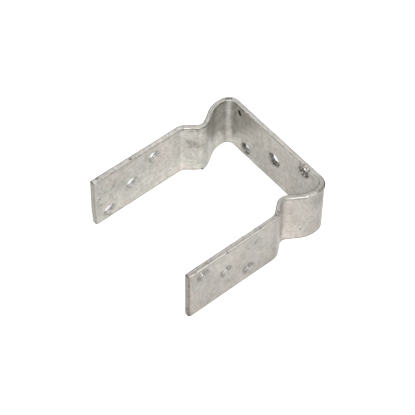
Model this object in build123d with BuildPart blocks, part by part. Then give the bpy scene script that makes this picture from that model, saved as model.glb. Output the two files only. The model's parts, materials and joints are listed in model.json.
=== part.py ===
"""U bracket: one flat bar folded into a U that wraps a slotted post, with an inward crimp in each arm.

Frame: X across the U, the web towards +Y, the arms running towards -Y, and Z up the width of the bar.
The origin is on the middle plane of the web, at the lower edge of the bar. Lengths are millimetres.
"""

from build123d import *
import os

# Flat bar
bar_width = 50.0
bar_thickness = 4.0
edge_round = 0.5
end_lower_corner_round = 1.8
end_upper_corner_round = 0.8

# The U, seen from above
inside_width = 106.4
overall_length = 136.5
corner_inner_radius = 6.0

# Crimp in each arm, set out along the middle of the bar's thickness
shoulder_distance = 16.5
shoulder_flare = 0.8
shoulder_bend_radius = 20.0
crimp_distance = 35.1
crimp_depth = 11.2
crimp_bend_radius = 7.5
heel_distance = 48.5
heel_bend_radius = 10.5

# Punched holes in the arms, in a row that climbs across the bar
arm_hole_diameter = 10.5
arm_hole_end_distance = 14.0
arm_hole_pitch = 22.0
arm_end_hole_edge_distance = 8.5
arm_inner_hole_edge_distance = 12.3

# Punched holes in the web, in a row that climbs across the bar
web_hole_diameter = 11.0
web_centre_hole_diameter = 12.5
web_hole_inset = 20.3
web_row_shift = -0.5
web_low_hole_edge_distance = 8.5
web_high_hole_edge_distance = 7.4

# Nick in the inner face of the web, near the far corner
nick_length = 6.8
nick_width = 2.4
nick_depth = 1.5
nick_inset = 11.7
nick_edge_distance = 6.4
nick_slope = 116.0

# Places that follow from the sizes above
half_thickness = bar_thickness / 2
arm_line = inside_width / 2 + half_thickness
arm_end = overall_length - half_thickness


def fold_corners(side):
    """Corner points of one arm on the middle line of the bar, from the web to the free end."""
    return [
        (side * arm_line, 0),
        (side * (arm_line + shoulder_flare), -shoulder_distance),
        (side * (arm_line - crimp_depth), -crimp_distance),
        (side * arm_line, -heel_distance),
        (side * arm_line, -arm_end),
    ]


def arm_row():
    """Holes of one arm, as distance from the free end and height from the edge that its row starts at."""
    low = arm_end_hole_edge_distance
    high = bar_width - arm_inner_hole_edge_distance
    return [
        (arm_hole_end_distance + step * arm_hole_pitch, low + step * (high - low) / 2)
        for step in range(3)
    ]


arm_bends = [corner_inner_radius + half_thickness, shoulder_bend_radius, crimp_bend_radius, heel_bend_radius]
fold_line = fold_corners(-1)[::-1] + fold_corners(1)
fold_radii = arm_bends[::-1] + arm_bends

web_hole_reach = inside_width / 2 - web_hole_inset
web_low_hole = (-web_hole_reach + web_row_shift, web_low_hole_edge_distance)
web_high_hole = (web_hole_reach + web_row_shift, bar_width - web_high_hole_edge_distance)
web_middle_hole = (web_row_shift, (web_low_hole[1] + web_high_hole[1]) / 2)

left_arm_plane = Plane(origin=(-arm_line, -arm_end, 0), x_dir=(0, 1, 0), z_dir=(1, 0, 0))
right_arm_plane = Plane(origin=(arm_line, -arm_end, bar_width), x_dir=(0, 1, 0), z_dir=(-1, 0, 0))
web_plane = Plane(origin=(0, 0, 0), x_dir=(1, 0, 0), z_dir=(0, -1, 0))
web_inner_face = web_plane.offset(half_thickness)


with BuildPart() as bracket:
    # Folded bar
    with BuildSketch(Plane.XY) as bar_section:
        with BuildLine():
            FilletPolyline(*fold_line, radius=fold_radii)
        trace(line_width=bar_thickness)
    extrude(amount=bar_width)

    # Clipped corners at the free ends, larger along the lower edge
    end_edges = bracket.edges().filter_by(Axis.X).group_by(Axis.Y)[0]
    fillet(end_edges.group_by(Axis.Z)[0], radius=end_lower_corner_round)
    fillet(end_edges.group_by(Axis.Z)[-1], radius=end_upper_corner_round)

    # Rounded edges of the rolled bar
    bar_faces = bracket.faces().filter_by(Axis.Z)
    fillet(bar_faces.edges(), radius=edge_round)

    # Arm holes: the row of one arm is the row of the other turned half round
    for arm_plane in (left_arm_plane, right_arm_plane):
        with BuildSketch(arm_plane) as arm_punches:
            with Locations(*arm_row()):
                Circle(arm_hole_diameter / 2)
        extrude(amount=bar_thickness, both=True, mode=Mode.SUBTRACT)

    # Web holes
    with BuildSketch(web_plane) as web_punches:
        with Locations(web_low_hole, web_high_hole):
            Circle(web_hole_diameter / 2)
        with Locations(web_middle_hole):
            Circle(web_centre_hole_diameter / 2)
    extrude(amount=bar_thickness, both=True, mode=Mode.SUBTRACT)

    # Nick in the web
    with BuildSketch(web_inner_face) as nick_outline:
        with Locations((nick_inset - inside_width / 2, bar_width - nick_edge_distance)):
            SlotOverall(nick_length, nick_width, rotation=nick_slope)
    extrude(amount=-nick_depth, mode=Mode.SUBTRACT)

bracket.part.label = "bracket"
os.makedirs("parts", exist_ok=True)
export_step(bracket.part, "parts/bracket.step")
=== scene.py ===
"""Looks of the folded and galvanised U bracket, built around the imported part."""

import json
import math
from collections import namedtuple
from functools import reduce

import bmesh
import bpy
from mathutils import Matrix, Vector, noise


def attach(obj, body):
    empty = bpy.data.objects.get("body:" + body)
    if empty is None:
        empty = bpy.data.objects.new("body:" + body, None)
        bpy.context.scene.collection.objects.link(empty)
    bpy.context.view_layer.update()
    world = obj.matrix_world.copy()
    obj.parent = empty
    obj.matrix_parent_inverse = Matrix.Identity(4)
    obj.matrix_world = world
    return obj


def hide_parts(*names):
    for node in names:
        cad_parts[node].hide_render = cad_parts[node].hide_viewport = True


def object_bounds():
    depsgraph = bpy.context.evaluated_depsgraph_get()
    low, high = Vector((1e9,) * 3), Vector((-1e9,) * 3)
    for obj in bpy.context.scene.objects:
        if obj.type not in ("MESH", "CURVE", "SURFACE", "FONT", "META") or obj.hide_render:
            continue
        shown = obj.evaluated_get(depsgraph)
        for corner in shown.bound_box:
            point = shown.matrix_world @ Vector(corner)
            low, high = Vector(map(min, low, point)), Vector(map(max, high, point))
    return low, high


MM = 0.001

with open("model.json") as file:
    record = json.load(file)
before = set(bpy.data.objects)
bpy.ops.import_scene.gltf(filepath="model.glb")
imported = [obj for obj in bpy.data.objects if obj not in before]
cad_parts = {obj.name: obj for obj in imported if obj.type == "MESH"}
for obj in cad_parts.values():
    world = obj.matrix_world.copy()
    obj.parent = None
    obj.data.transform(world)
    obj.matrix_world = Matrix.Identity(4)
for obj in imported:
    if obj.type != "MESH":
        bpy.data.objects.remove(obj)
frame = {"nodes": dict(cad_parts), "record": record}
cad_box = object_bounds()

# The bar, in metres. Both cut ends lie at its lowest y and the back of the web at its highest, and its lower
# edge is at z = 0.
END_FACE = cad_box[0][1]
HALF_THICKNESS = cad_box[1][1]
BAR_WIDTH = cad_box[1][2]

# Marks in the zinc: place and size in mm, first the dark spots, which are pits too
DARK_SPOTS = [
    # left arm: upper edge, foot of the crimp, cut end
    ((-56.1, -129.2, 50), 1.2),
    ((-54.9, -98.4, 50), 1.5),
    ((-54.9, -4.2, 50), 1.5),
    ((-54.1, -2.6, 50), 1.3),
    ((-52.6, -1.2, 50), 1.1),
    ((-43.3, -36.9, 0.4), 1.9),
    ((-55.9, -134.4, 10.7), 1.2),
    # web, beside its high hole
    ((37.7, -1.8, 49.6), 1.6),
    ((31.6, -0.8, 50), 1.1),
    ((28.6, -2, 48.6), 1.3),
    # right arm: corner, crimp, upper edge, cut end
    ((57.0, -2.6, 49.5), 1.7),
    ((57.5, -5.0, 48.9), 1.5),
    ((57.4, -8.0, 49.0), 1.2),
    ((54.4, -22.6, 11.9), 1.3),
    ((48.2, -36.6, 10.5), 1.5),
    ((53.2, -44.6, 50), 1.2),
    ((54.2, -48.3, 50), 1.1),
    ((55.3, -65.3, 50), 1.0),
    ((57.2, -98.0, 49.3), 1.3),
    ((55.1, -116, 50), 1.0),
    ((57.2, -134.0, 39.4), 1.5),
    ((55.7, -134.0, 9.5), 1.7),
    ((57.2, -133.6, 1.1), 1.9),
]
# Spots without a pit, and the smudge on the left crimp
FAINT_SPOTS = [
    ((-53.2, -116.4, 34.1), 2.2),
    ((-53.2, -127.2, 39.2), 1.6),
    ((-53.2, -130.2, 35.5), 1.9),
    ((-53.2, -129.9, 29.2), 2.0),
    ((-53.2, -128.3, 21.1), 2.4),
    ((-53.2, -118.5, 26.0), 1.6),
    ((57.2, -77.0, 36.0), 1.6),
    ((57.2, -70.0, 38.0), 1.4),
    ((57.2, -132.8, 3.4), 3.4),
    ((56.6, -134.0, 6.0), 2.6),
    ((57.2, -134.0, 27.0), 2.0),
]
SMUDGE = [
    ((-50.8, -46.4, 33.6), 4.5),
    ((-48.9, -44.0, 33.2), 5.5),
    ((-46.8, -41.6, 31.2), 5.5),
    ((-44.8, -38.6, 29.2), 4.5),
    ((-49.2, -44.6, 28.8), 4.0),
]
# Rings where the zinc drained and froze
RINGS = [
    ((-53.2, -123.0, 25.0), 8.0),
    ((57.2, -118.0, 15.0), 7.5),
    ((57.2, -75.0, 33.0), 7.0),
]
# Broad areas painted lighter and darker, mostly painted light and shade, partly the zinc's own tone: place
# and size in mm, and how much lighter
PAINTED_LIGHT_AREAS = [
    # left arm
    ((-53.2, -122.0, 8.0), 26, 0.16),
    ((-53.2, -110.0, 30.0), 10, -0.1),
    ((-53.2, -100.0, 40.0), 9, 0.12),
    ((-53.2, -80.0, 5.0), 50, 0.16),
    ((-53.2, -66.0, 25.0), 20, -0.08),
    ((-53.2, -64.0, 47.0), 30, 0.18),
    ((-49.0, -44.0, 4.0), 28, 0.2),
    ((-47.0, -42.0, 44.0), 16, 0.1),
    ((-48.0, -22.0, 50.0), 24, -0.07),
    # web
    ((-30.0, -2.0, 34.0), 18, 0.06),
    ((-14.0, -2.0, 18.0), 28, -0.18),
    ((10.0, -2.0, 6.0), 40, -0.06),
    ((18.0, -2.0, 36.0), 28, -0.09),
    # right arm
    ((58.5, -2.0, 12.0), 26, -0.22),
    ((57.4, -5.5, 38.0), 17, -0.3),
    ((57.4, -10.0, 42.0), 14, -0.12),
    ((50.0, -30.0, 6.0), 18, 0.2),
    ((57.2, -60.0, 2.0), 24, -0.2),
    ((57.2, -100.0, 22.0), 66, -0.12),
    ((57.2, -100.0, 40.0), 24, 0.14),
    ((57.2, -122.0, 4.0), 26, -0.08),
    ((57.2, -128.0, 48.0), 30, -0.12),
]
# Painted highlights and painted shade in bands up the bends: x, y and width in mm, and how much lighter
PAINTED_BEND_BANDS = [
    (-53.0, -50.2, 2.4, 0.22),
    (-44.7, -38.4, 3.4, 0.15),
    (-44.0, -33.0, 3.6, -0.04),
    (-46.5, -27.0, 5.0, 0.16),
    (-53.7, -13.0, 6.0, 0.17),
    (-53.2, -6.0, 2.4, -0.26),
    (-42.0, -2.0, 7.0, 0.08),
    (49.2, -31.2, 3.6, 0.12),
    (48.0, -36.2, 4.2, -0.12),
    (56.8, -50.0, 6.0, -0.16),
]
BASE_SHADE = 1.015
PIN_SPACING = 5
# Places in mm: the middle of the right corner's bend, a warmer patch on the right crimp, and the upper end of
# the hollow in the right crimp, which stays clear of scale
RIGHT_CORNER = (47.2, -8, 0)
WARM_PATCH = (56.5, -26, 32)
CLEAN_HOLLOW = (49.2, -39.1, 50)
# The nick in the web, in mm, with its slope in the web's plane, and the length of the slot that the solid has
# in its place
NICK_PLACE = Vector((-41.4, -2.0, 43.4))
NICK_SLOPE = math.radians(116)
NICK_LENGTH = 5.6
NICK_WIDTH = 2.4
NICK_DEPTH = 2.2
SLOT_LENGTH = 6.8

# Zinc and its stains, and colours that also paint light and shade
ROSE = (0.502, 0.455, 0.414)
PALE = (0.55, 0.535, 0.495)
SEA = (0.42, 0.42, 0.38)
# Dull zinc, also used as painted shade
DULL_ZINC_AND_SHADE = (0.25, 0.235, 0.195)
# Bare zinc, also used as painted light
BARE_ZINC_AND_LIGHT = (0.74, 0.725, 0.69)
GREY = (0.3, 0.29, 0.275)
# Dark scale, also used as painted shade
DARK_SCALE_AND_SHADE = (0.10, 0.09, 0.075)
CUT = (0.26, 0.26, 0.225)
BROWN = (0.17, 0.135, 0.1)
# Painted highlight
PAINTED_HIGHLIGHT = (0.82, 0.80, 0.76)
NICK_BLACK = (0.015, 0.015, 0.013)
METAL = 0.8
ROUGH = 0.36
BUMP_HEIGHT = 0.3 * MM

# What the coated mesh tells its finish at each vertex
LAYERS = ("edge", "wall", "rim", "crescent", "lean", "from_end")


class Value:
    """A shader socket that can be used in sums and products."""

    def __init__(self, tree, socket):
        self.tree, self.socket = tree, socket

    def math(self, operation, *others):
        node = self.tree.nodes.new("ShaderNodeMath")
        node.operation = operation
        for slot, other in zip(node.inputs, (self,) + others):
            if isinstance(other, Value):
                self.tree.links.new(other.socket, slot)
            else:
                slot.default_value = other
        return Value(self.tree, node.outputs[0])

    def __add__(self, other):
        return self.math("ADD", other)

    __radd__ = __add__

    def __mul__(self, other):
        return self.math("MULTIPLY", other)

    __rmul__ = __mul__

    def __sub__(self, other):
        return self.math("SUBTRACT", other)

    def __rsub__(self, other):
        return (self * -1) + other


class Finish:
    """A node material, with one method that adds any node and wires it up."""

    def __init__(self, name):
        self.material = bpy.data.materials.new(name)
        self.material.use_nodes = True
        self.tree = self.material.node_tree
        self.tree.nodes.clear()
        self.output = self.tree.nodes.new("ShaderNodeOutputMaterial")
        self.place = self.node("ShaderNodeTexCoord", out="Object")

    def node(self, kind, settings=None, out=0, **sockets):
        """Sockets go by name, with _ for a space, or as i0, i1 by number. Returns one output."""
        node = self.tree.nodes.new(kind)
        for key, value in (settings or {}).items():
            setattr(node, key, value)
        for key, value in sockets.items():
            slot = node.inputs[int(key[1:]) if key[1:].isdigit() else key.replace("_", " ")]
            if isinstance(value, Value):
                self.tree.links.new(value.socket, slot)
            else:
                slot.default_value = value
        return Value(self.tree, node.outputs[out])

    def vector(self, operation, out=0, **sockets):
        return self.node("ShaderNodeVectorMath", {"operation": operation}, out=out, **sockets)

    def noise(self, size, detail=3.0, roughness=0.5, out=0, distortion=0.0, place=None):
        """A noise with clouds of about a size in mm."""
        return self.node("ShaderNodeTexNoise", {"noise_dimensions": "3D"}, out=out,
                         Vector=place or self.place, Scale=1 / (size * MM), Detail=detail,
                         Roughness=roughness, Distortion=distortion)

    def ramp(self, value, low, high):
        """0 below low, 1 above high, smooth between."""
        return self.node("ShaderNodeMapRange", {"interpolation_type": "SMOOTHSTEP"},
                         Value=value, From_Min=low, From_Max=high)

    def mix(self, factor, a, b):
        node = self.tree.nodes.new("ShaderNodeMix")
        node.data_type = "RGBA"
        for name, value in (("Factor_Float", factor), ("A_Color", a), ("B_Color", b)):
            slot = next(s for s in node.inputs if s.identifier == name)
            if isinstance(value, Value):
                self.tree.links.new(value.socket, slot)
            else:
                slot.default_value = (*value, 1)
        return Value(self.tree, next(s for s in node.outputs if s.identifier == "Result_Color"))

    def shifted(self, step):
        """The place moved far along, so that a noise read there is a new one."""
        return self.vector("ADD", i0=self.place, i1=(step, step * 0.7, step * 1.3))

    def stretched(self, *factors):
        return self.vector("MULTIPLY", i0=self.place, i1=factors)

    def wobbled(self, amount, size):
        """The place pushed about by up to an amount in mm, so that outlines drawn there are ragged."""
        push = self.noise(size, detail=2, out="Color")
        centred = self.vector("SUBTRACT", i0=push, i1=(0.5, 0.5, 0.5))
        scaled = self.vector("SCALE", i0=centred, Scale=amount * 2 * MM)
        return self.vector("ADD", i0=self.place, i1=scaled)

    def distance(self, place, point):
        """Millimetres from a place to a point given in mm."""
        metres = self.vector("DISTANCE", out="Value", i0=place, i1=tuple(c * MM for c in point))
        return metres * (1 / MM)

    def surface(self, shader):
        self.tree.links.new(shader.socket, self.output.inputs["Surface"])
        return self.material


class ZincFinish(Finish):
    """The zinc of the bar: cloudy crystals, with every mark, and painted light and shade, laid over them in
    turn.
    """

    def __init__(self):
        super().__init__("galvanised_zinc")
        self.x, self.y, self.z = (
            self.node("ShaderNodeSeparateXYZ", out=i, Vector=self.place) * (1 / MM) for i in range(3)
        )
        self.edge, self.wall, self.rim, self.crescent, self.lean, self.from_end = (
            self.node("ShaderNodeAttribute", {"attribute_name": name}, out="Fac") for name in LAYERS
        )
        self.plan = self.stretched(1, 1, 0)
        self.ragged = self.wobbled(1.6, 3)
        self.finely_ragged = self.wobbled(0.9, 1.2)
        self.clouds = self.noise(8, detail=5, roughness=0.65, distortion=0.8)
        self.patches = self.noise(4.5, detail=4, roughness=0.65, place=self.shifted(31))
        self.grain = self.noise(1.8, detail=3, roughness=0.7)
        self.fine = self.noise(0.7, detail=2, roughness=0.6)

        # Parts of the bar
        self.web = self.ramp(self.y, -6, -4)
        self.left_side = self.ramp(self.x, 0, -40)
        self.left_straight = self.ramp(self.x, -45, -50) * self.ramp(self.y, -52, -56)
        self.right_crimp = self.ramp(self.x, 40, 52) * self.ramp(self.y, -52, -48)
        self.from_corner = self.distance(self.plan, RIGHT_CORNER)
        self.outer = self.ramp(self.from_corner, 7.2, 8.2)
        self.top = self.ramp(self.z, 49.3, 49.6)
        self.end = self.ramp(self.from_end, 0.35, 0.15)
        # Painted contact shadow along the foot of the bar
        self.foot = self.ramp(self.z, 2.0, 0.9) * (1 - self.end * 0.6)
        # Painted shade on the rear rounding of the upper edge, the side turned from the camera
        self.rear = self.ramp(self.lean * -1, 0.1, 0.35) * self.ramp(self.z, 48.9, 49.4)
        self.slit = self.nick_mask()

        # Where the dark borders are fainter, and where no hole, nick or cut end is in the way
        self.quiet = self.ramp(self.x, 40, 46) * (1 - self.outer) * 0.4 + self.left_straight * 0.4
        self.plain = (1 - self.end) * (1 - self.wall) * (1 - self.rim) * (1 - self.slit)
        self.stain = self.dots(self.finely_ragged, DARK_SPOTS, 0.25)

    def nick_mask(self):
        right, up = self.x - NICK_PLACE.x, self.z - NICK_PLACE.z
        along = (right * math.cos(NICK_SLOPE) + up * math.sin(NICK_SLOPE)).math("ABSOLUTE")
        across = (up * math.cos(NICK_SLOPE) - right * math.sin(NICK_SLOPE)).math("ABSOLUTE")
        outline = self.ramp(across, NICK_WIDTH / 2 + 0.7, NICK_WIDTH / 2 + 0.4)
        outline *= self.ramp(along, NICK_LENGTH / 2 + 0.3, NICK_LENGTH / 2 - 0.1)
        return outline * self.ramp(self.y, -4, -3) * self.ramp(self.y, 1.2, 0.4)

    def dots(self, where, spots, core):
        """1 within the cores of the spots, fading to 0 at their rims."""
        masks = (self.ramp(self.distance(where, place), size, size * core) for place, size in spots)
        return reduce(lambda one, other: one.math("MAXIMUM", other), masks)

    def paint(self, strength, colour):
        """Lays a colour over what is there."""
        self.colour = self.mix(strength, self.colour, colour)

    def crystals(self):
        """Cloudy crystals, from broad clouds of two tints down to fine grain."""
        hue = self.noise(20, detail=3, roughness=0.6)
        right_side = self.ramp(self.x, 20, 50)
        cool = self.ramp(self.x, -20, -45) * self.ramp(self.y, -40, -25)
        warm = self.ramp(self.distance(self.place, WARM_PATCH), 24, 8)
        tint = hue + right_side * 0.08 + self.web * 0.07 + warm * 0.1 - cool * 0.12
        self.colour = self.mix(self.ramp(tint, 0.42, 0.62), SEA, ROSE)
        self.paint(self.ramp(self.clouds, 0.42, 0.6) * 0.8, PALE)
        self.paint(self.ramp(self.patches, 0.5, 0.64) * (1 - warm * 0.5) * 0.28, DULL_ZINC_AND_SHADE)
        self.paint(self.ramp(self.grain, 0.52, 0.68) * 0.46, DULL_ZINC_AND_SHADE)
        self.paint(self.ramp(self.grain, 0.44, 0.32) * 0.15, BARE_ZINC_AND_LIGHT)
        self.paint(self.ramp(self.fine, 0.52, 0.72) * 0.4, BARE_ZINC_AND_LIGHT)

    def flow_lines(self):
        """Lines of the draining zinc, like the lines of a map."""
        flow = self.noise(14, detail=1.5, distortion=1.2, place=self.shifted(57))
        lines = self.ramp((flow * 9 * math.tau).math("SINE"), 0.7, 1)
        self.paint(lines * self.ramp(self.patches, 0.38, 0.56) * 0.36, DULL_ZINC_AND_SHADE)

    def streaks(self):
        """Faint streaks up the width of the bar, left by the folding and the dipping."""
        streak = self.noise(3.2, detail=3, roughness=0.6, place=self.stretched(1, 1, 0.22))
        self.paint(self.ramp(streak, 0.52, 0.68) * (self.web * 0.14 + 0.12), DULL_ZINC_AND_SHADE)

    def painted_light_and_shade(self):
        """Painted light and shade: broad areas, and bands up the bends, made lighter or darker."""
        shade = BASE_SHADE
        # Painted light and shade over broad areas of the bar
        for place, size, lighter in PAINTED_LIGHT_AREAS:
            shade = self.ramp(self.distance(self.place, place), size, 0) * lighter + shade
        # Painted highlights and painted shade in bands up the bends
        for x, y, size, lighter in PAINTED_BEND_BANDS:
            shade = self.ramp(self.distance(self.plan, (x, y, 0)), size, 0) * lighter + shade
        self.colour = self.vector("SCALE", i0=self.colour, Scale=shade)

    def rings(self):
        for place, size in RINGS:
            from_ring = (self.distance(self.ragged, place) - size).math("ABSOLUTE")
            self.paint(self.ramp(from_ring, 0.9, 0.1) * self.ramp(self.patches, 0.4, 0.6) * 0.35, DULL_ZINC_AND_SHADE)

    def strips(self):
        """The bar's long edges: greyer towards the right arm, browned here and there on the left crimp."""
        strip = self.top + self.ramp(self.z, 0.7, 0.4)
        grey = self.ramp(self.patches, 0.35, 0.6) * 0.25 + self.ramp(self.x, 0, 50) * 0.25
        self.paint(strip * (grey + self.right_crimp * 0.32), GREY)
        left_crimp = self.ramp(self.x, -34, -40) * self.ramp(self.y, -52, -48)
        self.paint(strip * left_crimp * self.ramp(self.grain, 0.42, 0.6) * 0.22, BROWN)

    def cut_ends(self):
        uneven = self.ramp(self.grain, 0.35, 0.65) * 0.25 + 0.6
        self.paint(self.end * uneven * (1 - self.left_side * 0.5), CUT)

    def dull_and_shaded_borders(self):
        """Darker borders: a band under the upper edge of the faces, on the right arm painted shade beside the
        edge's highlight; a line under the web's upper edge; a painted contact shadow along the foot; painted
        shade on the rear of the upper edge.
        """
        uneven = self.ramp(self.grain, 0.4, 0.6)
        under = self.ramp(self.z, 48.1, 48.6) * self.ramp(self.z, 49.45, 49.15) * (1 - self.end)
        # Stronger on the right arm, where it is painted shade that narrows the edge's highlight
        dull_and_shade = uneven * 0.35 + self.ramp(self.x, 46, 52) * self.outer * 0.4 + 0.2
        self.paint(under * dull_and_shade * (1 - self.quiet) * (1 - self.web), DULL_ZINC_AND_SHADE)
        seat = self.ramp(self.z, 47.1, 47.7) * self.ramp(self.z, 48.6, 48.1) * self.web
        self.paint(seat * (uneven * 0.25 + 0.12), DULL_ZINC_AND_SHADE)
        uneven = self.ramp(self.grain, 0.35, 0.6) * 0.25
        # Painted contact shadow along the foot, and painted shade on the rear of the upper edge
        self.paint(self.foot * (uneven + 0.6), DULL_ZINC_AND_SHADE)
        self.paint(self.rear * (uneven + 0.35), DULL_ZINC_AND_SHADE)

    def worn_edges_and_highlights(self):
        """Edges painted bare: worn zinc that also serves as a painted highlight, brightest along the right
        arm and its bend where a painted highlight line runs, with a brown seam beside that line.
        """
        # Worn edges painted bare, which also paints their highlight
        worn_and_lit = self.ramp(self.edge, 0.35, 0.7) * self.plain * (1 - self.foot) * (1 - self.rear)
        self.paint(worn_and_lit * (1 - self.right_crimp * 0.4) * self.ramp(self.grain, 0.38, 0.52), BARE_ZINC_AND_LIGHT)
        # Painted highlight line along the right arm's outer upper edge and over its bend
        straight = self.ramp(self.y, -50, -53) * self.top
        bend_highlight = self.ramp(self.x, 54.4, 55.4) * self.ramp(self.y, -22, -19) * self.ramp(self.y, -8.5, -11)
        bend_highlight *= self.ramp(self.edge, 0.25, 0.5) * self.ramp(self.z, 48.8, 49.2)
        painted_highlight_line = (self.ramp(self.x, 56.4, 56.7) * straight + bend_highlight * 0.8) * self.plain
        self.paint(painted_highlight_line * (self.ramp(self.grain, 0.35, 0.5) * 0.4 + 0.6), PAINTED_HIGHLIGHT)
        seam = self.ramp(self.x, 55.5, 55.9) * self.ramp(self.x, 56.6, 56.3) * straight
        self.paint(seam * (self.ramp(self.patches, 0.4, 0.6) * 0.3 + 0.12), BROWN)

    def inner_edge(self):
        """The upper edge inside the U: a pale ledge on the web, and on the left arm and bends a dark line,
        partly a mark in the zinc and partly painted shade that dulls the edge's highlight.
        """
        inner = self.ramp(self.lean, 0.12, 0.3)
        ledge = inner * self.ramp(self.z, 48.2, 48.8) * self.ramp(self.z, 49.8, 49.5) * self.web
        self.paint(ledge * 0.45, BARE_ZINC_AND_LIGHT)
        lip = inner * self.ramp(self.z, 49.1, 49.4) * self.ramp(self.x, 46, 40)
        lip *= 1 - self.web * self.ramp(self.x, -38, -34)
        left_bends = self.ramp(self.y, -50, -46) * self.ramp(self.x, -34, -40)
        dark = (1 - self.quiet) * (self.ramp(self.patches, 0.38, 0.6) * 0.22 + 0.1)
        # Painted shade over the inner edge's highlight, strongest on the left bends
        self.paint(lip * dark + lip * left_bends * 0.4, DARK_SCALE_AND_SHADE)

    def brown_lines(self):
        """Brown lines round the outside of the right corner and round both cut ends."""
        turn = self.ramp(self.from_corner, 9.2, 9.6) * self.ramp(self.z, 48.2, 49)
        turn *= self.ramp(self.x, 48, 51) * self.ramp(self.y, -12.5, -9.5)
        self.paint(turn * (self.ramp(self.grain, 0.35, 0.6) * 0.35 + 0.25), BROWN)
        corner = self.ramp(self.from_end, 0.05, 0.2) * self.ramp(self.from_end, 1.1, 0.7)
        uneven = self.ramp(self.grain, 0.35, 0.55) * 0.3 + 0.5
        self.paint(corner * uneven * (1 - self.left_side * 0.25), BROWN)

    def scale_flecks(self):
        """Flecks of dark scale along the edges."""
        flecks = self.ramp(self.noise(2.6, detail=2, place=self.shifted(11)), 0.6, 0.7)
        flecks *= self.ramp(self.edge, 0.3, 0.6) * self.plain
        flecks *= self.ramp(self.distance(self.place, CLEAN_HOLLOW), 2, 3.5)
        self.paint(flecks * (0.75 - self.left_straight * 0.5), DARK_SCALE_AND_SHADE)

    def hole_walls(self):
        """Walls of the holes: in the arms painted pale, a painted light, with painted shade on two corners of
        each rim; in the web dark and ragged, painted shade over ragged scale.
        """
        arms = 1 - self.web
        # Painted light on the arms' hole walls
        self.paint(self.wall * arms * 0.55, BARE_ZINC_AND_LIGHT)
        uneven = self.ramp(self.grain, 0.35, 0.6)
        shaded = uneven * 0.12 + self.ramp(self.x, -10, 10) * 0.26 + 0.1
        # Painted shade on the shaded corners of the arms' holes
        self.paint(self.crescent * arms * shaded, DARK_SCALE_AND_SHADE)
        self.paint(self.rim * uneven * 0.3, GREY)
        # Dark ragged web hole walls: scale with painted shade
        ragged = self.ramp(self.patches + (self.grain - 0.5) * 0.9, 0.38, 0.6)
        self.paint(self.wall * self.web * ragged * 0.7, DARK_SCALE_AND_SHADE)

    def spots(self):
        """Dark spots over the pits, fainter ones, the smudge on the left crimp, and scattered pin holes."""
        self.paint(self.stain * 0.85, DARK_SCALE_AND_SHADE)
        self.paint(self.dots(self.finely_ragged, FAINT_SPOTS, 0.2) * 0.48, DARK_SCALE_AND_SHADE)
        smudge = self.dots(self.ragged, SMUDGE, 0.2)
        self.paint(smudge * (self.ramp(self.grain, 0.42, 0.58) * 0.45 + 0.28), DULL_ZINC_AND_SHADE)
        from_pin, pin_colour = (
            self.node("ShaderNodeTexVoronoi", {"feature": "F1"}, out=out, Vector=self.place,
                      Scale=1 / (PIN_SPACING * MM))
            for out in ("Distance", "Color")
        )
        picked = self.ramp(self.node("ShaderNodeSeparateColor", Color=pin_colour), 0.72, 0.74)
        self.paint(picked * self.ramp(from_pin, 0.13, 0.06) * 0.6, DARK_SCALE_AND_SHADE)

    def nick(self):
        self.paint(self.slit * 0.97, NICK_BLACK)

    def finished(self):
        rough = ROUGH + (self.clouds - 0.5) * 0.2 + self.stain * 0.3 + self.end * 0.12
        height = self.grain + self.fine * 0.4 - self.stain * 0.8
        bump = self.node("ShaderNodeBump", Strength=0.25, Distance=BUMP_HEIGHT, Height=height)
        metal = METAL * (1 - self.stain * 0.5) * (1 - self.slit) * (1 - self.wall * (1 - self.web) * 0.5)
        return self.surface(self.node("ShaderNodeBsdfPrincipled", Base_Color=self.colour,
                                      Metallic=metal, Roughness=rough, Normal=bump))


def zinc_finish():
    zinc = ZincFinish()
    zinc.crystals()
    zinc.flow_lines()
    zinc.streaks()
    zinc.painted_light_and_shade()
    zinc.rings()
    zinc.strips()
    zinc.cut_ends()
    zinc.dull_and_shaded_borders()
    zinc.worn_edges_and_highlights()
    zinc.inner_edge()
    zinc.brown_lines()
    zinc.scale_flecks()
    zinc.hole_walls()
    zinc.spots()
    zinc.nick()
    return zinc.finished()


# Zinc coat: an even mesh on the bar, the waves and grain of the zinc, and what marks it
VOXEL = 0.68 * MM
EDGE_PASSES = 12
EDGE_SCALE = 0.45 * MM
SWELL_SIZE = 11 * MM
SWELL_HEIGHT = 0.09 * MM
GRAIN_SIZE = 4.0 * MM
GRAIN_HEIGHT = 0.04 * MM
COAT = 0.12 * MM
END_COAT = 0.25 * MM
CORNER_COAT = 0.3 * MM
RIM_WIDTH = 1.1 * MM
RIM_HEIGHT = 0.1 * MM
# How near a hole's wall a place is on it, and how far along a hole's axis a place is still beside the hole
ON_WALL = 0.1 * MM
BESIDE_HOLE = HALF_THICKNESS + 0.5 * MM
PIT_DEPTH = 0.25 * MM
# The way that the inner faces of the web and of the left arm look, and the outer face of the right arm
LEAN = Vector((0.7, -0.7, 0))
BURR_PLACE = Vector((-43.9, -35.8, 0.4))
BURR_TIP = 0.3 * MM
BURR_REACH = 2.2 * MM
BURR_PUSH = Vector((0.9, -1.3, 0))
# Lines pressed up the hollow side of each heel by the folding tool, seen from above
CREASES = [Vector((-52.2, -48.4, 0)), Vector((52.2, -48.4, 0))]
CREASE_DEPTH = 0.15 * MM
# Lumps of zinc by the web's high hole and on the right corner: place, size and height in mm
LUMPS = [
    ((36.6, -2.0, 48.0), 2.6, 0.9),
    ((38.6, -2.0, 44.6), 2.2, 0.7),
    ((27.6, -2.0, 46.6), 2.0, 0.5),
    ((32.6, -2.0, 49.3), 1.8, 0.4),
    ((58.5, 1.0, 49.0), 7.5, 1.2),
]
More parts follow.
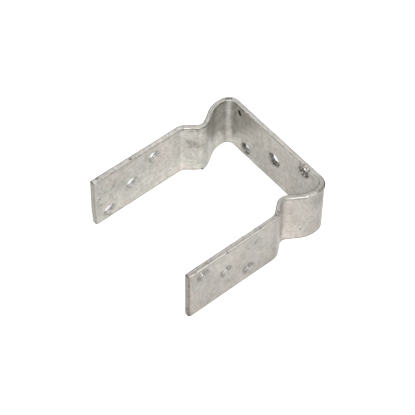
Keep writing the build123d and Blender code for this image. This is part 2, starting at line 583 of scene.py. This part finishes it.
# Zinc left in each hole, in mm: a lining all round, and a run along the lower side that thickens towards both
# faces. The two numbers of the run's spread say how far down the wall it begins and where it is full.
RUN_SIZE = 3 * MM
RUN_SHIFT = Vector((7, 3, 1))
RUN_LEAN = Vector((-0.5, 0.45, -0.87))
NARROW = (0, 0.9)
WIDE = (-0.35, 0.55)
HOLE_ZINC = {
    "left_arm_end_hole": (0.05, 0.2, NARROW),
    "left_arm_middle_hole": (0.1, 0.85, NARROW),
    "left_arm_inner_hole": (0.2, 1.9, NARROW),
    "right_arm_end_hole": (0.2, 2.15, WIDE),
    "right_arm_middle_hole": (0.25, 2.35, WIDE),
    "right_arm_inner_hole": (0.25, 2.0, WIDE),
    "web_low_hole": (0.38, 2.0, NARROW),
    "web_centre_hole": (0.28, 1.95, NARROW),
    "web_high_hole": (0.45, 2.3, NARROW),
}
# The shaded corners of an arm's hole lie this way from its axis, and the other way
SHADED_CORNER = Vector((0, 0.85, 0.5))
CRESCENT_WIDTH = 0.7 * MM

Bore = namedtuple("Bore", "centre axis radius lining run spread")


def rise(value, low, high):
    """0 below low, 1 above high, smooth between."""
    t = min(max((value - low) / (high - low), 0), 1)
    return t * t * (3 - 2 * t)


def fade(value, low, high):
    """1 below low, 0 above high, smooth between."""
    return 1 - rise(value, low, high)


def new_object(name, data):
    """An object in the scene that shows a mesh, a lamp or a camera."""
    made = bpy.data.objects.new(name, data)
    bpy.context.scene.collection.objects.link(made)
    return made


def new_mesh(name, bm):
    """The finished mesh of a bmesh, which is let go."""
    mesh = bpy.data.meshes.new(name)
    bm.to_mesh(mesh)
    bm.free()
    return mesh


def even_mesh(node):
    """A copy of the bar as a bmesh of small even faces that lie on the bar's own surface."""
    loose = bmesh.new()
    loose.from_mesh(node.data)
    bmesh.ops.remove_doubles(loose, verts=loose.verts, dist=MM / 1000)
    mesh = new_mesh("bar_copy", loose)
    copy = new_object("bar_copy", mesh)
    target = new_object("bar_surface", mesh)
    remesh = copy.modifiers.new("even", "REMESH")
    remesh.mode, remesh.voxel_size, remesh.adaptivity = "VOXEL", VOXEL, 0
    wrap = copy.modifiers.new("wrap", "SHRINKWRAP")
    wrap.wrap_method, wrap.target = "NEAREST_SURFACEPOINT", target
    shown = copy.evaluated_get(bpy.context.evaluated_depsgraph_get())
    even = bmesh.new()
    even.from_mesh(shown.to_mesh())
    shown.to_mesh_clear()
    for piece in (copy, target):
        bpy.data.objects.remove(piece)
    bpy.data.meshes.remove(mesh)
    return even


def edge_strengths(bm):
    """Per vertex, 1 on a sharp outer edge, -1 in a sharp hollow and 0 on a flat face."""
    soft = bm.copy()
    for _ in range(EDGE_PASSES):
        bmesh.ops.smooth_vert(
            soft, verts=soft.verts, factor=0.5, use_axis_x=True, use_axis_y=True, use_axis_z=True)
    soft.verts.ensure_lookup_table()
    strengths = [(v.co - soft.verts[v.index].co).dot(v.normal) / EDGE_SCALE for v in bm.verts]
    soft.free()
    return strengths


def bores():
    """The holes of the bar, with the zinc that each one holds."""
    found = []
    for mount in frame["record"]["mounts"]:
        if mount["kind"] == "bore":
            lining, run, spread = HOLE_ZINC[mount["name"]]
            found.append(Bore(Vector(mount["pos_m"]), Vector(mount["axis"]), mount["dims"]["r_mm"] * MM,
                              lining * MM, run * MM, spread))
    return found


def from_axis(place, bore):
    """How far a place lies along a hole's axis, and the way out to it from the axis."""
    reach = place - bore.centre
    along = reach.dot(bore.axis)
    return along, reach - bore.axis * along


def hole_gap(place, holes):
    """How far a place is from the wall of the nearest hole."""
    nearest = 1.0
    for bore in holes:
        along, out = from_axis(place, bore)
        if abs(along) < BESIDE_HOLE:
            nearest = min(nearest, out.length - bore.radius)
    return nearest


def hole_push(place, normal, bore):
    """The push that lays zinc on the wall and the rim of one hole."""
    along, out = from_axis(place, bore)
    distance = out.length
    if abs(along) > 2 * HALF_THICKNESS or distance > bore.radius + 3 * RIM_WIDTH:
        return Vector()
    out = out.normalized()
    uneven = noise.noise(place / RUN_SIZE + RUN_SHIFT)
    if distance < bore.radius + ON_WALL:
        down = (RUN_LEAN - bore.axis * RUN_LEAN.dot(bore.axis)).normalized()
        towards_face = 0.5 + 0.5 * abs(along) / HALF_THICKNESS
        run = bore.run * rise(out.dot(down), *bore.spread) * towards_face * (1 + 0.5 * uneven)
        return out * -max(bore.lining * (1 + 0.8 * uneven) + run, 0)
    return normal * fade(distance - bore.radius, 0, RIM_WIDTH) * RIM_HEIGHT * (1 + uneven)


def crescent_strength(place, holes):
    """1 on the two shaded corners of a hole's rim and 0 elsewhere."""
    for bore in holes:
        along, out = from_axis(place, bore)
        gap = out.length - bore.radius
        if abs(along) < BESIDE_HOLE and abs(gap) < CRESCENT_WIDTH:
            rim = rise(abs(along), 0.9 * MM, 1.7 * MM) * fade(gap, 0.2 * MM, CRESCENT_WIDTH)
            return rise(abs(out.normalized().dot(SHADED_CORNER)), 0.55, 0.9) * rim
    return 0.0


def surface_height(place):
    """How far the waves and the grain of the zinc stand proud at a place."""
    swell = noise.noise(place / SWELL_SIZE) * SWELL_HEIGHT
    grain = noise.noise(place / GRAIN_SIZE) * GRAIN_HEIGHT
    return swell + grain


def build_up(place, gap):
    """Zinc outside the holes: it drained towards the open ends and over the left corner."""
    if gap <= ON_WALL:
        return 0.0
    x, y = place.x / MM, place.y / MM
    ends = END_COAT * rise(-y, 70, 134)
    left_corner = CORNER_COAT * rise(-x, 22, 46) * rise(y, -1, 1)
    return (COAT + ends + left_corner) * (0.2 + 0.8 * rise(gap, ON_WALL, 3 * MM))


def pits(place):
    """How deep the pits under the dark spots are at a place."""
    depth = 0.0
    for spot, size in DARK_SPOTS:
        reach = (place - Vector(spot) * MM).length
        depth += PIT_DEPTH * fade(reach, 0.2 * size * MM, size * MM)
    return depth


def creases(place):
    """How deep the pressed lines in the heels are at a place."""
    reaches = ((place - crease * MM).to_2d().length for crease in CREASES)
    return sum(CREASE_DEPTH * fade(reach, 0.2 * MM, 1.0 * MM) for reach in reaches)


def lumps(place):
    """How high the lumps of zinc are at a place."""
    total = 0.0
    for lump, size, height in LUMPS:
        total += height * MM * fade((place - Vector(lump) * MM).length, 0, size * MM)
    return total


def nicked(place, y):
    """The y of a vertex once the nick is cut, with the web made flat again beyond the nick's two ends."""
    reach = place - NICK_PLACE * MM
    along = abs(reach.x * math.cos(NICK_SLOPE) + reach.z * math.sin(NICK_SLOPE))
    across = abs(reach.z * math.cos(NICK_SLOPE) - reach.x * math.sin(NICK_SLOPE))
    beside = along < (SLOT_LENGTH / 2 + 0.6) * MM and across < (NICK_WIDTH / 2 + 0.2) * MM
    if not beside or not -2.5 * MM < place.y < 0.2 * MM:
        return y
    if along >= NICK_LENGTH / 2 * MM:
        return NICK_PLACE.y * MM
    return max(y, NICK_PLACE.y * MM + NICK_DEPTH * MM * fade(across, 0.8 * MM, 1.35 * MM))


def cut_back(place):
    """How far a cut end is set back: both slope a little, and the left one has a step near its foot."""
    up = place.z / BAR_WIDTH
    if place.x < 0:
        back = 0.05 - 0.2 * up + 0.5 * fade(place.z, 10.4 * MM, 11.2 * MM)
    else:
        back = 0.75 - 0.3 * up
    return back * MM * fade(place.y - END_FACE, 0.5 * MM, 3.5 * MM)


def marked(place, normal):
    """Where a vertex goes for the pits, the nick, the burr, the cut ends, the creases and the lumps."""
    moved = place - normal * pits(place)
    moved.y = nicked(place, moved.y) + cut_back(place)
    moved += BURR_PUSH * MM * fade((place - BURR_PLACE * MM).length, BURR_TIP, BURR_REACH)
    return moved + normal * (lumps(place) - creases(place))


def coat_bar(node):
    bm = even_mesh(node)
    bm.normal_update()
    bm.verts.index_update()
    strengths = edge_strengths(bm)
    holes = bores()
    edge, wall, rim, crescent, lean, from_end = (bm.verts.layers.float.new(name) for name in LAYERS)
    for v, strength in zip(bm.verts, strengths):
        place, normal = v.co.copy(), v.normal
        gap = hole_gap(place, holes)
        v[edge] = strength
        v[wall] = 1.0 if gap < ON_WALL else 0.0
        v[rim] = fade(gap, 1.2 * MM, 2.4 * MM)
        v[crescent] = crescent_strength(place, holes)
        v[lean] = normal.dot(LEAN)
        v[from_end] = min((place.y - END_FACE) / MM, 5)
        v.co = marked(place, normal) + normal * (surface_height(place) + build_up(place, gap))
        for bore in holes:
            v.co += hole_push(place, normal, bore)
        v.co.z = max(v.co.z, 0)
    for face in bm.faces:
        face.smooth = True
    return new_object("zinc_coated_bar", new_mesh("zinc_coated_bar", bm))


bar = coat_bar(frame["nodes"]["bracket"])
bar.data.materials.append(zinc_finish())
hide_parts("bracket")
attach(bar, "root")

# Studio
FLOOR_REACH = 6.0
FLOOR_COLOUR = (0.9, 0.9, 0.9, 1)
FLOOR_SEEN = 0.5
FLOOR_REFLECTED = 0.1
CAMERA_AZIMUTH = math.radians(49.284)
CAMERA_ELEVATION = math.radians(52.460)
CAMERA_ROLL = math.radians(1.095)
CAMERA_DISTANCE = 1511.22 * MM
CAMERA_AIM = Vector((2.202, -70.284, 25.0)) * MM
CAMERA_LENS = 174.506
CAMERA_SENSOR = 36.0
STUDIO_CENTRE = Vector((0, -70, 25)) * MM
# name: azimuth and elevation seen from the bracket in degrees, distance and size in metres, power in watts
LAMPS = {
    "key": (49, 62, 1.9, 1.1, 36),
    "back_left": (-131, 50, 1.8, 1.1, 6),
    "edge": (116, 28, 1.8, 0.5, 1.5),
    "back_right": (140, 45, 1.8, 1.0, 2),
    "overhead": (0, 88, 1.8, 1.2, 2),
}
WORLD_LEVEL = 0.12


def floor_finish():
    """A pale board that glows a little where the camera or a reflection sees it."""
    f = Finish("pale_floor")
    board = f.node("ShaderNodeBsdfDiffuse", Color=FLOOR_COLOUR)
    glossy = f.node("ShaderNodeLightPath", out="Is Glossy Ray")
    camera = f.node("ShaderNodeLightPath", out="Is Camera Ray")
    seen = camera * FLOOR_SEEN + glossy * FLOOR_REFLECTED
    glow = f.node("ShaderNodeEmission", Color=f.vector("SCALE", i0=(1, 1, 1), Scale=seen), Strength=1)
    return f.surface(f.node("ShaderNodeAddShader", i0=board, i1=glow))


def add_floor():
    bm = bmesh.new()
    bmesh.ops.create_grid(bm, x_segments=1, y_segments=1, size=FLOOR_REACH)
    floor = new_object("floor", new_mesh("floor", bm))
    floor.data.materials.append(floor_finish())


def towards(azimuth, elevation):
    """The way out to a camera or a lamp, with azimuth 0 in front of the open end."""
    return Vector((
        math.sin(azimuth) * math.cos(elevation),
        -math.cos(azimuth) * math.cos(elevation),
        math.sin(elevation),
    ))


def add_camera():
    back = towards(CAMERA_AZIMUTH, CAMERA_ELEVATION)
    level = Vector((math.cos(CAMERA_AZIMUTH), math.sin(CAMERA_AZIMUTH), 0))
    above = back.cross(level)
    right = level * math.cos(CAMERA_ROLL) + above * math.sin(CAMERA_ROLL)
    up = above * math.cos(CAMERA_ROLL) - level * math.sin(CAMERA_ROLL)
    data = bpy.data.cameras.new("camera")
    data.lens, data.sensor_width = CAMERA_LENS, CAMERA_SENSOR
    data.clip_start, data.clip_end = 0.05, 20
    camera = new_object("camera", data)
    turn = Matrix((right, up, back)).transposed().to_4x4()
    camera.matrix_world = Matrix.Translation(CAMERA_AIM + back * CAMERA_DISTANCE) @ turn
    bpy.context.scene.camera = camera


def add_lamp(name, azimuth, elevation, distance, size, power):
    data = bpy.data.lights.new(name, "AREA")
    data.shape, data.size, data.energy = "SQUARE", size, power
    lamp = new_object(name, data)
    out = towards(math.radians(azimuth), math.radians(elevation))
    lamp.location = STUDIO_CENTRE + out * distance
    lamp.rotation_mode = "QUATERNION"
    lamp.rotation_quaternion = (-out).to_track_quat("-Z", "Y")


def add_world():
    world = bpy.data.worlds.new("studio")
    bpy.context.scene.world = world
    world.use_nodes = True
    background = world.node_tree.nodes["Background"]
    background.inputs["Color"].default_value = (1, 1, 1, 1)
    background.inputs["Strength"].default_value = WORLD_LEVEL


add_floor()
add_camera()
for name, settings in LAMPS.items():
    add_lamp(name, *settings)
add_world()
bpy.context.scene.view_settings.view_transform = "Standard"
